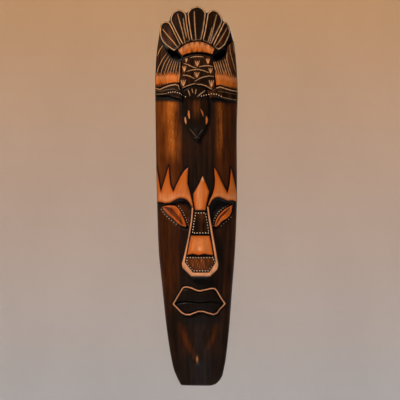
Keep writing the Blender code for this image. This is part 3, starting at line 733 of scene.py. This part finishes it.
# Each hem: its brown, and its lines with their width and paleness.
hems = {
    "crest_hem_left": {"brown": 0.06, "lines": [
        ([(-110, -193), (-98, -197.5), (-87, -192.5), (-72, -187), (-57, -184.5), (-49, -187), (-45, -198)],
         2.6, 0.62),
        ([(-112, -199), (-95, -202), (-80, -198), (-62, -196), (-52, -200)], 1.6, 0.22),
        ([(-112, -209.5), (-95, -209.5), (-80, -208.0)], 1.9, 0.42),
        ([(-112, -216), (-90, -216), (-66, -215), (-48, -219)], 1.6, 0.22)]},
    "crest_hem_right": {"brown": 0.32, "lines": [
        ([(52, -194), (62, -191), (75, -195.5), (90, -199.5), (108, -203)], 2.8, 0.72),
        ([(56, -202), (72, -204), (90, -208), (108, -211)], 1.6, 0.22),
        ([(66, -218), (84, -221.5), (108, -226)], 1.8, 0.45)]},
}


def makeHem(node):
    piece, work = startRelief(node)
    work.brown = hems[node]["brown"] * work.front
    for line, width, light in hems[node]["lines"]:
        work.cutLine(line, width, 0.6, light, 0.9, 0.3)
    work.paint("burn", 0.8 * (1.0 - ease(0.8, 3.2, work.edge)) * work.front * (work.z < -206.0))
    work.finish()
    hand(piece, node, woods["crestStain"])


for hemNode in hems:
    makeHem(hemNode)

backLines = [
    [(-17, -113.5), (-5, -110.8), (8, -110.8), (17, -112.5)],
    [(-34, -129), (-24, -132), (-12, -138), (-2, -141)],
    [(6, -138), (18, -135.5), (30, -135), (41, -137)],
    [(-26, -150), (-12, -146), (2, -144.5), (18, -148), (30, -153)],
    [(-37, -160), (-26, -160.5), (-16, -164), (-7, -169)],
    [(-5, -176), (6, -169), (18, -164.5), (32, -162), (44, -163)],
    [(-38, -194), (-28, -189), (-14, -184.5), (-4, -182)],
    [(-2, -183.5), (12, -184.5), (24, -188), (36, -196), (45, -198)],
]
# Three short cuts that meet at a point: x and z of the point, their spread and length.
backSprays = [(1, -136, 5.5, 13), (0, -166, 6.0, 13), (29, -129, 4.5, 12), (-28, -125, 2.5, 9),
              (-33, -150, 4.5, 13), (36, -155, 4.5, 13), (-36, -189, 6, 16), (38, -191, 6, 17)]


def makeBack():
    piece, work = startRelief("bird_back")
    work.brown = 0.16 * work.front
    for line in backLines:
        work.cutLine(line, 2.1, 1.0, 0.78, 0.6)
    for px, pz, spread, length in backSprays:
        warmth = glow(work, px, pz + 0.4 * length, 0.7 * spread, 0.45 * length)
        work.paint("brown", 0.9 * warmth * work.front)
        work.paint("amber", 0.55 * warmth * work.front)
        for lean in (-1, 0, 1):
            work.cutLine([(px + lean * spread, pz + length), (px, pz)], 1.9, 0.8, 0.9, 0.25, 0.5)
    work.finish()
    hand(piece, "bird_back", woods["crestStain"])


makeBack()


# The head's gouged lines with their paleness, and its bare patches with their half width too.
throatLines = [[(-23, -199), (-18, -214)], [(-13, -196), (-11, -206)], [(-2, -197), (-4, -209)],
               [(21, -201), (11, -208), (2, -216)]]
beakLines = [([(-19, -301), (-10, -312), (-3, -320)], 0.3), ([(15, -303), (8, -312), (2, -320)], 0.18),
             ([(-8, -326), (0, -322), (8, -327)], 0.15)]
headPatches = [([(-30.5, -272), (-30.5, -284), (-32, -296)], 3.3, 0.45),
               ([(-22, -254), (-21.5, -264), (-20, -273)], 2.4, 0.2),
               ([(10, -250), (14, -258), (17, -268)], 2.0, 0.05),
               ([(25, -270), (26.5, -279), (25, -288)], 3.0, 0.1)]


def makeHead():
    piece, work = startRelief("bird_head")
    x, z = work.x, work.z
    work.brown = 0.5 * glow(work, -4.0, -252.0, 10.0, 17.0)
    work.brown += 0.3 * ease(-262.0, -240.0, z) * (1.0 - ease(-232.0, -222.0, z)) * np.exp(-(x / 22.0) ** 2)
    for line in throatLines:
        work.cutLine(line, 2.2, 1.0, 0.7, 0.4)
    for line, half, light in headPatches:
        away, along = lineDistance(x, z, line)
        half = half * np.sin(math.pi * np.clip(along, 0.12, 0.88)) ** 0.7
        patch = 1.0 - ease(half - 1.0, half + 0.9, away)
        work.paint("brown", patch)
        work.paint("amber", 0.85 * patch)
        work.paint("bare", light * patch)
        work.sink += 0.8 * patch * work.front
        work.burn = np.maximum(work.burn * (1.0 - patch), 0.7 * bump(away, half + 2.4, 1.4))
    for line, light in beakLines:
        work.cutLine(line, 1.8, 0.8, light, 0.7)
    beak = np.exp(-(x / 7.0) ** 2) * (1.0 - ease(-308.0, -298.0, z))
    work.sink -= 1.8 * beak * work.front * ease(0.0, 3.0, work.edge)
    work.paint("burn", 0.55 * (1.0 - ease(-300.0, -285.0, z)) * (1.0 - work.bare * 2.0))
    work.finish()
    hand(piece, "bird_head", woods["crestStain"])


makeHead()
print("bird carved")

paleRelief = {"grain": 1.1, "soften": 4, "pillow": 1.8, "pillowReach": 6.0}


def makePale(node, woodName, scorch=0.9, warm=0.35, shading=None, trim=0.0):
    piece = blankFrom(node, pieceName(node, "Carved"), paleRelief)
    work = Surface(piece, [node])
    fall = 1.0 - ease(0.0, paleRelief["pillowReach"], work.edge)
    work.sink += paleRelief["pillow"] * fall**2 * work.front
    work.amber = warm * (1.0 - ease(1.0, 6.5, work.edge)) * work.front
    work.bare = 0.35 * ease(5.0, 14.0, work.edge) * work.front
    if shading:
        shading(work)
    line = np.maximum(1.0 - ease(0.1, 0.55, work.front), 0.85 * (1.0 - ease(0.3, 1.9, work.edge)))
    work.paint("burn", scorch * line)
    if trim:
        # The outer edge of a thin rim is bevelled off and blackened.
        middle = 0.5 * (work.z.min() + work.z.max())
        across = 0.5 * (work.x.min() + work.x.max())
        outer = rimSide(work, across, middle) * (1.0 - ease(trim - 0.5, trim + 0.7, work.edge))
        work.sink += 1.6 * outer * work.front
        work.paint("burn", outer)
    work.finish()
    hand(piece, node, woods[woodName])


def rimSide(work, across, middle):
    # 1 on the outer half of a rim, 0 on its inner half.
    angle = np.arctan2(work.z - middle, work.x - across)
    reach = np.hypot(work.x - across, work.z - middle)
    slots = np.round((angle + math.pi) / (2.0 * math.pi) * 180.0).astype(int)
    low = np.full(182, 1e9)
    high = np.zeros(182)
    np.minimum.at(low, slots, reach)
    np.maximum.at(high, slots, reach)
    return ease(0.45, 0.6, (reach - low[slots]) / np.maximum(high[slots] - low[slots], 1.0))


def shadeBrow(work):
    # The flame tips were browned over the lamp, most along their edges; the lower part stayed pale.
    x, z, edge, front = work.x, work.z, work.edge, work.front
    tips = ease(-478.0, -425.0, z)
    lowPart = 1.0 - ease(-490.0, -462.0, z)
    mottle = 0.5 + 0.5 * np.sin(0.19 * x + 0.9) * np.sin(0.13 * z + 0.07 * x)
    nearEdge = 1.0 - ease(2.0, 8.0, edge)
    work.paint("amber", np.maximum(tips * (0.6 + 0.4 * nearEdge), 0.5 * mottle) * front)
    work.paint("amber", 0.9 * nearEdge * ease(-500.0, -470.0, z) * front)
    work.brown = 0.75 * tips * (1.0 - ease(1.5, 4.5, edge)) * front
    paleMiddle = 0.85 * lowPart * (0.35 + 0.65 * mottle) * (1.0 - nearEdge) * front
    work.bare = np.maximum(0.4 * work.bare * mottle, paleMiddle)


def shadeDiamond(work):
    # The tip carries a painted highlight, laid on as bare pale wood.
    tip = ease(-443.0, -431.0, work.z)
    leftEdge = (1.0 - ease(-10.0, 2.0, work.x)) * ease(-520.0, -480.0, work.z)
    work.paint("amber", 0.9 * leftEdge * work.front)
    work.paint("amber", 0.9 * bump(work.x, 19.0, 5.0) * work.front)
    work.paint("amber", 0.8 * (1.0 - ease(2.0, 7.0, work.edge)) * work.front)
    work.brown = 0.6 * (1.0 - ease(1.5, 4.0, work.edge)) * work.front
    work.amber *= 1.0 - tip
    work.brown *= 1.0 - tip
    work.bare = np.maximum(work.bare * 0.5, tip * work.front)
    work.paint("bare", 0.35 * bump(work.x, 6.0, 5.0) * work.front)


makePale("brow_left", "paleWood", shading=shadeBrow)
makePale("brow_right", "paleWood", shading=shadeBrow)
makePale("brow_diamond", "paleWood", shading=shadeDiamond)
makePale("nose_frame", "cutWood", 0.85, 0.1)
makePale("mouth_rim", "cutWood", 0.9, 0.1, trim=2.0)


def makeMiddlePanel():
    piece, work = startRelief("nose_middle_panel")
    work.amber = 0.9 * (1.0 - ease(1.0, 9.0, work.edge)) * work.front
    work.paint("amber", 0.7 * ease(-590.0, -581.0, work.z) * work.front)
    # Painted shade: deeper orange towards the bottom of the panel.
    work.paint("amber", 0.6 * (1.0 - ease(-632.0, -618.0, work.z)) * work.front)
    work.bare = 0.15 * ease(6.0, 16.0, work.edge) * work.front
    # Painted highlight on the nose's bulge, laid on as a bare-wood spot.
    work.paint("bare", glow(work, 7.0, -617.0, 5.0, 6.0))
    work.paint("burn", 0.9 * (1.0 - ease(0.3, 2.4, work.edge)) * work.front)
    work.finish()
    hand(piece, "nose_middle_panel", woods["paleWood"])


makeMiddlePanel()


def makeDarkPanel(node, brown, amber):
    piece, work = startRelief(node)
    work.sink += 1.0 * ease(2.0, 5.0, work.edge) * work.front
    streak = saw(work.x / 6.3 + 0.5 * np.sin(0.11 * work.z), 1.2)
    streak *= 0.6 + 0.4 * np.sin(0.21 * work.z + 0.4 * work.x)
    work.brown = brown * work.front
    work.amber = amber * streak * ease(4.0, 10.0, work.edge) * work.front
    work.paint("burn", 0.8 * (1.0 - ease(0.8, 3.0, work.edge)) * work.front)
    work.finish()
    hand(piece, node, woods["crestStain"])


makeDarkPanel("nose_bridge_panel", 0.30, 0.0)
makeDarkPanel("nose_tip_panel", 0.95, 0.40)

# Each eye: the almond's own edge, and the dark hollow between its two lids.
eyes = {
    "eye_left": {
        "almond": [(-93, -507), (-82, -503.5), (-71, -503), (-57, -503), (-47, -512), (-41, -524),
                   (-33.5, -540), (-27.5, -555), (-28, -561), (-43, -556), (-53, -548), (-65, -536.5),
                   (-77, -527), (-88, -515)],
        "hollow": [(-88, -508), (-76, -508), (-66, -512), (-57, -521), (-47, -533), (-39, -546),
                   (-35, -555), (-47, -545), (-60, -532), (-72, -521)]},
    "eye_right": {
        "almond": [(94.5, -501.5), (84, -507), (73, -513.5), (64, -522), (55.5, -531), (50, -542),
                   (46, -557), (50, -562), (59, -553.5), (66, -544), (77, -538.5), (86, -531),
                   (91, -520), (93, -508)],
        "hollow": [(88, -508), (80, -513), (70, -521), (62, -530), (54, -543), (49, -557), (57, -546),
                   (65, -534), (76, -525), (84, -515)]},
}


def makeEye(node):
    piece, work = startRelief(node)
    x, z = work.x, work.z
    inside = insideOutline(x, z, eyes[node]["almond"])
    hollow = ease(-1.2, 0.8, insideOutline(x, z, eyes[node]["hollow"]))
    grainy = saw(0.06 * x + 0.09 * z) * saw(0.021 * x - 0.043 * z)
    ridge = bump(inside, 2.6, 1.5)
    work.brown = work.front * 1.0
    work.amber = work.front * np.maximum(0.55 + 0.35 * grainy, ridge) * (1.0 - 0.75 * hollow)
    work.bare = 0.10 * ridge * work.front * (1.0 - hollow)
    work.sink += 2.4 * hollow * work.front
    work.paint("burn", (0.42 + 0.4 * grainy) * hollow * work.front)
    outside = 1.0 - ease(-0.8, 0.8, inside)
    work.sink += 3.0 * outside * work.front
    work.paint("burn", outside)
    work.amber *= 1.0 - outside
    work.bare *= 1.0 - outside
    work.finish()
    hand(piece, node, woods["paleWood"])


for eyeNode in eyes:
    makeEye(eyeNode)


def makeLip(node):
    piece, work = startRelief(node)
    work.paint("burn", 0.35 * work.front)
    work.finish()
    hand(piece, node, woods["crestStain"])


makeLip("lip_upper")
makeLip("lip_lower")
print("face carved")

dots = {"radius": 1.5, "height": 0.7, "sides": 10, "rings": 6}
# Each row: where it runs, the space between its dots, and how pale they are.
dotRows = {
    "hemDotsLeft": ([(-75, -206), (-61, -204), (-47, -207), (-30, -217)], 6.4, 0.6),
    "hemDotsRight": ([(12, -215), (26, -212), (40, -209), (54, -211), (64, -216)], 6.4, 0.6),
    "bridgeDots": ([(-3, -523), (23, -523), (27, -546), (31.5, -575.5), (-11.5, -575.5), (-7.5, -548),
                    (-3, -523)], 7.3, 0.8),
    "tipDots": ([(-25, -640), (43, -640), (47, -654), (29.5, -675), (-10, -675), (-27, -653),
                 (-25, -640)], 7.3, 0.8),
    "upperLidDotsLeft": ([(-48, -505), (-42, -512), (-36.5, -521), (-30, -536), (-26, -546),
                          (-23.5, -555)], 6.8, 0.4),
    "lowerLidDotsLeft": ([(-94, -514), (-86, -526), (-76, -535), (-64, -545), (-54, -552)], 7.6, 0.35),
    "upperLidDotsRight": ([(81, -503), (70, -510), (59, -519), (51, -530), (45, -544), (42, -556)],
                          7.0, 0.75),
    "lowerLidDotsRight": ([(64, -556), (78, -545), (90, -534)], 7.6, 0.3),
}


def makeBead():
    # One flattened bead, the pattern for every dot.
    bpy.ops.object.select_all(action="DESELECT")
    bpy.ops.mesh.primitive_uv_sphere_add(segments=dots["sides"], ring_count=dots["rings"],
                                         radius=dots["radius"] * toMetres)
    bead = bpy.context.object
    bead.scale = (1.0, 1.0, dots["height"] / dots["radius"])
    bpy.ops.object.transform_apply(location=False, rotation=False, scale=True)
    bpy.ops.object.shade_smooth()
    return bead


def evenPlaces(route, spacing):
    # Evenly spaced places along a bent line; a closed one doesn't repeat its first place.
    lengths = [math.dist(a, b) for a, b in zip(route, route[1:])]
    total = sum(lengths)
    count = max(2, round(total / spacing))
    places = []
    for number in range(count + (route[0] != route[-1])):
        along = total * number / count
        leg = 0
        while leg < len(lengths) - 1 and along > lengths[leg]:
            along -= lengths[leg]
            leg += 1
        (ax, az), (bx, bz) = route[leg], route[leg + 1]
        t = min(along / lengths[leg], 1.0)
        places.append((ax + (bx - ax) * t, az + (bz - az) * t))
    return places


def makeDots(name, places, pale, bead, tree):
    # A copy of the bead sits on the carved front at each place.
    bpy.ops.object.select_all(action="DESELECT")
    made = []
    for x, z in places:
        start = Vector((x * toMetres, -0.3, z * toMetres))
        hit, normal, _, _ = tree.ray_cast(start, Vector((0.0, 1.0, 0.0)))
        if hit is None:
            continue
        dot = bead.copy()
        dot.data = bead.data.copy()
        bpy.context.scene.collection.objects.link(dot)
        dot.rotation_euler = normal.to_track_quat("Z", "Y").to_euler()
        dot.location = hit
        dot.select_set(True)
        made.append(dot)
    bpy.context.view_layer.objects.active = made[0]
    bpy.ops.object.join()
    row = bpy.context.object
    bpy.ops.object.transform_apply(location=True, rotation=True, scale=True)
    row.name = name
    row.data.materials.append(woods["punchedWood"])
    layer = row.data.attributes.new("bare", "FLOAT", "POINT")
    layer.data.foreach_set("value", np.full(len(row.data.vertices), pale, np.float32))
    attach(row, "mask")


def wholeFront():
    # All carved pieces as one surface, to set the dots on.
    together = bmesh.new()
    for piece in bpy.data.objects:
        if piece.type == "MESH" and piece.name.endswith("Carved") or piece == carvedBlock:
            together.from_mesh(piece.data)
    tree = BVHTree.FromBMesh(together)
    together.free()
    return tree


frontTree = wholeFront()
beadPattern = makeBead()
for rowName, (route, spacing, pale) in dotRows.items():
    makeDots(rowName, evenPlaces(route, spacing), pale, beadPattern, frontTree)
bpy.data.objects.remove(beadPattern)
print("dots punched")

# How far each fixed part of the hanger has its edges rounded, in metres.
hanger = {"hanger_strap": 0.00022, "hanger_screw_upper": 0.00015, "hanger_screw_lower": 0.00015}
hangerMerge = 0.00001


def makeHanger(node, rounding):
    piece = copyNode(node, pieceName(node, "Piece"), hangerMerge, quads=True)
    bevel = piece.modifiers.new("brokenEdges", "BEVEL")
    bevel.width = rounding
    bevel.segments = 2
    bevel.limit_method = "ANGLE"
    bevel.angle_limit = math.radians(40.0)
    applyModifiers(piece)
    bpy.ops.object.shade_smooth_by_angle(angle=math.radians(35.0))
    hand(piece, node, zincSteel)


for hangerNode, hangerRounding in hanger.items():
    makeHanger(hangerNode, hangerRounding)


def makeRing():
    piece = copyNode("hanger_ring", "hangerRingPiece", hangerMerge, quads=True)
    fine = piece.modifiers.new("roundWire", "SUBSURF")
    fine.levels = 2
    fine.render_levels = 2
    applyModifiers(piece)
    bpy.ops.object.shade_smooth()
    hand(piece, "hanger_ring", zincSteel, "ring")


makeRing()
print("hanger fitted")

# The backdrop's colours are painted light: high is warm, as under a warm lamp above, and low is cool grey, as
# under cool light from below.
stage = {"floorZ": -14.0, "backdropY": 14.0, "size": 60.0, "floor": (0.70, 0.62, 0.55),
         "high": (0.78, 0.44, 0.212), "low": (0.60, 0.59, 0.60), "from": -1.75, "to": 0.75}
stageSun = {"power": 1.93, "turn": (math.radians(37.0), 0.0, 0.0), "angle": math.radians(20.0)}


def makePlaster(name, high, low):
    # Pale plaster with painted light, warmer towards the top and cool grey towards the bottom, with a faint
    # trowelled unevenness.
    paint, tree, shader, place = newMaterial(name)
    height = addNode(tree, "ShaderNodeSeparateXYZ", Vector=place).outputs["Z"]
    rise = tree.nodes.new("ShaderNodeMapRange")
    rise.inputs["From Min"].default_value = stage["from"]
    rise.inputs["From Max"].default_value = stage["to"]
    tree.links.new(height, rise.inputs["Value"])
    colour = mixColours(tree, rise.outputs[0], (*low, 1.0), (*high, 1.0))
    uneven = stretchedNoise(tree, place, (1.0, 1.0, 0.6), 2.2, 3.0, 0.5)
    tone = plus(tree, times(tree, uneven, 0.16), 0.92)
    toned = mixColours(tree, 1.0, colour, addGrey(tree, tone), "MULTIPLY")
    tree.links.new(toned, shader.inputs["Base Color"])
    shader.inputs["Roughness"].default_value = 0.9
    return paint


def makeStage():
    bpy.ops.object.select_all(action="DESELECT")
    bpy.ops.mesh.primitive_plane_add(size=stage["size"], location=(0.0, 0.0, stage["floorZ"]))
    floor = bpy.context.object
    floor.name = "paleFloor"
    floor.data.materials.append(makePlaster("palePaint", stage["floor"], stage["floor"]))
    bpy.ops.mesh.primitive_plane_add(size=stage["size"], location=(0.0, stage["backdropY"], 0.0),
                                     rotation=(math.radians(90.0), 0.0, 0.0))
    backdrop = bpy.context.object
    backdrop.name = "paleBackdrop"
    bpy.ops.object.transform_apply(location=True, rotation=True, scale=True)
    backdrop.data.materials.append(makePlaster("paleWall", stage["high"], stage["low"]))
    lit = bpy.data.collections.new("litStage")
    for surface in (floor, backdrop):
        lit.objects.link(surface)
    # One soft sun for the stage alone: the floor is pale all round and the mask keeps its own light.
    sun = bpy.data.lights.new("stageSun", "SUN")
    sun.energy = stageSun["power"]
    sun.angle = stageSun["angle"]
    holder = holderFor("stageSun", sun)
    holder.rotation_euler = stageSun["turn"]
    holder.light_linking.receiver_collection = lit


lights = {
    "key": {"place": (-1.75, -1.75, 1.9), "aim": (0, 0, -0.4), "size": 0.9, "power": 144.0,
            "colour": (1.0, 0.87, 0.73)},
    "fill": {"place": (2.4, -1.3, -1.3), "aim": (0, 0, -0.7), "size": 1.2, "power": 38.0,
             "colour": (0.90, 0.94, 1.0), "glossy": False},
    "low": {"place": (0.1, -1.5, -3.0), "aim": (0, 0, -0.9), "size": 0.8, "power": 14.0,
            "colour": (0.74, 0.88, 1.0)},
    "window": {"place": (0.2, -3.2, -1.9), "aim": (0, 0, -0.8), "size": 1.3, "power": 3.8,
               "colour": (0.62, 0.82, 1.0)},
    "rear": {"place": (1.4, 2.6, 1.0), "aim": (0, 0, -0.5), "size": 1.8, "power": 60.0,
             "colour": (1.0, 0.97, 0.93)},
}
air = {"seen": (0.50, 0.38, 0.28), "bounce": (0.9, 0.85, 0.8), "bounceStrength": 0.05}


def makeLights():
    for name, look in lights.items():
        lamp = bpy.data.lights.new(name, "AREA")
        lamp.shape = "DISK"
        lamp.size = look["size"]
        lamp.energy = look["power"]
        lamp.color = look["colour"]
        holder = holderFor(name, lamp)
        holder.visible_camera = False
        holder.visible_glossy = look.get("glossy", True)
        holder.location = look["place"]
        toward = Vector(look["aim"]) - Vector(look["place"])
        holder.rotation_euler = toward.to_track_quat("-Z", "Y").to_euler()


def makeAir():
    # A pale studio all round to the eye, but a dim one in the wax, as the room in front was unlit.
    world = bpy.data.worlds.new("studioAir")
    bpy.context.scene.world = world
    world.use_nodes = True
    tree = world.node_tree
    dim = tree.nodes["Background"]
    dim.inputs["Color"].default_value = (*air["bounce"], 1.0)
    dim.inputs["Strength"].default_value = air["bounceStrength"]
    pale = tree.nodes.new("ShaderNodeBackground")
    pale.inputs["Color"].default_value = (*air["seen"], 1.0)
    seen = tree.nodes.new("ShaderNodeLightPath")
    mix = tree.nodes.new("ShaderNodeMixShader")
    tree.links.new(seen.outputs["Is Camera Ray"], mix.inputs[0])
    tree.links.new(dim.outputs[0], mix.inputs[1])
    tree.links.new(pale.outputs[0], mix.inputs[2])
    tree.links.new(mix.outputs[0], tree.nodes["World Output"].inputs["Surface"])


cameraSetup = {"lens": 400.0, "frameHeight": 1.0567, "aim": (0.0083, -0.015, -0.4887)}


def makeCamera():
    view = bpy.data.cameras.new("frontView")
    view.lens = cameraSetup["lens"]
    view.sensor_width = 36.0
    holder = holderFor("frontView", view)
    x, y, z = cameraSetup["aim"]
    distance = cameraSetup["frameHeight"] * view.lens / view.sensor_width
    holder.location = (x, y - distance, z)
    holder.rotation_euler = (math.radians(90.0), 0.0, 0.0)
    bpy.context.scene.camera = holder
    bpy.context.scene.view_settings.view_transform = "Standard"


makeStage()
makeLights()
makeAir()
makeCamera()
print("stage lit")
